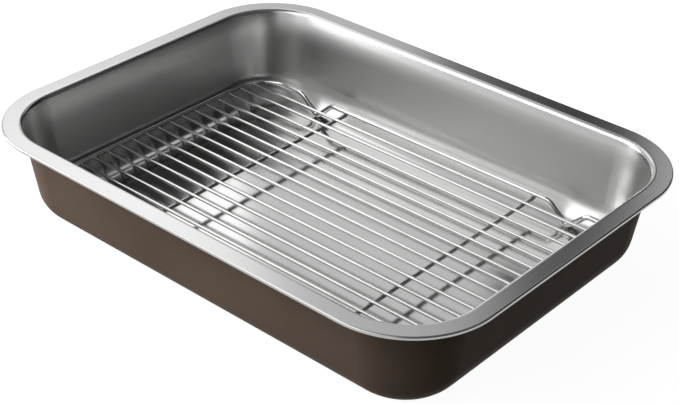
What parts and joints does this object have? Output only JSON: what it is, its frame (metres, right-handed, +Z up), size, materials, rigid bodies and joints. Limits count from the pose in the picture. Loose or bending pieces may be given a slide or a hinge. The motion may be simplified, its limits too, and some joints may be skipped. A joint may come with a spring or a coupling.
{
  "type": "roasting pan with rack",
  "caption": "Deep rectangular roasting pan with a wide flat rim and rounded corners, holding a loose footed wire rack that lifts out.",
  "frame": {"origin": "middle of the pan's flat underside", "axes": "+X along the pan's length, +Y across it, +Z up, the way the rack lifts out"},
  "size_m": [0.4, 0.3, 0.073],
  "materials": {
    "pan_steel": "satin drawn steel inside and on the rim, with a dark brown baked coat on the outside",
    "rack_wire": "bright polished round wire, welded"
  },
  "bodies": {
    "pan": {"pan": "pan_steel"},
    "rack": {"rack_frame": "rack_wire", "cross_wire_left": "rack_wire", "cross_wire_right": "rack_wire", "bar_01": "rack_wire", "bar_02": "rack_wire", "bar_03": "rack_wire", "bar_04": "rack_wire", "bar_05": "rack_wire", "bar_06": "rack_wire", "bar_07": "rack_wire", "bar_08": "rack_wire", "bar_09": "rack_wire", "bar_10": "rack_wire", "bar_11": "rack_wire", "bar_12": "rack_wire", "bar_13": "rack_wire", "bar_14": "rack_wire", "bar_15": "rack_wire", "bar_16": "rack_wire", "bar_17": "rack_wire"}
  },
  "joints": [
    {"name": "rack_lift", "type": "slide", "parent": "pan", "child": "rack", "axis": [0, 0, 1], "range_m": [0, 0.09]}
  ]
}
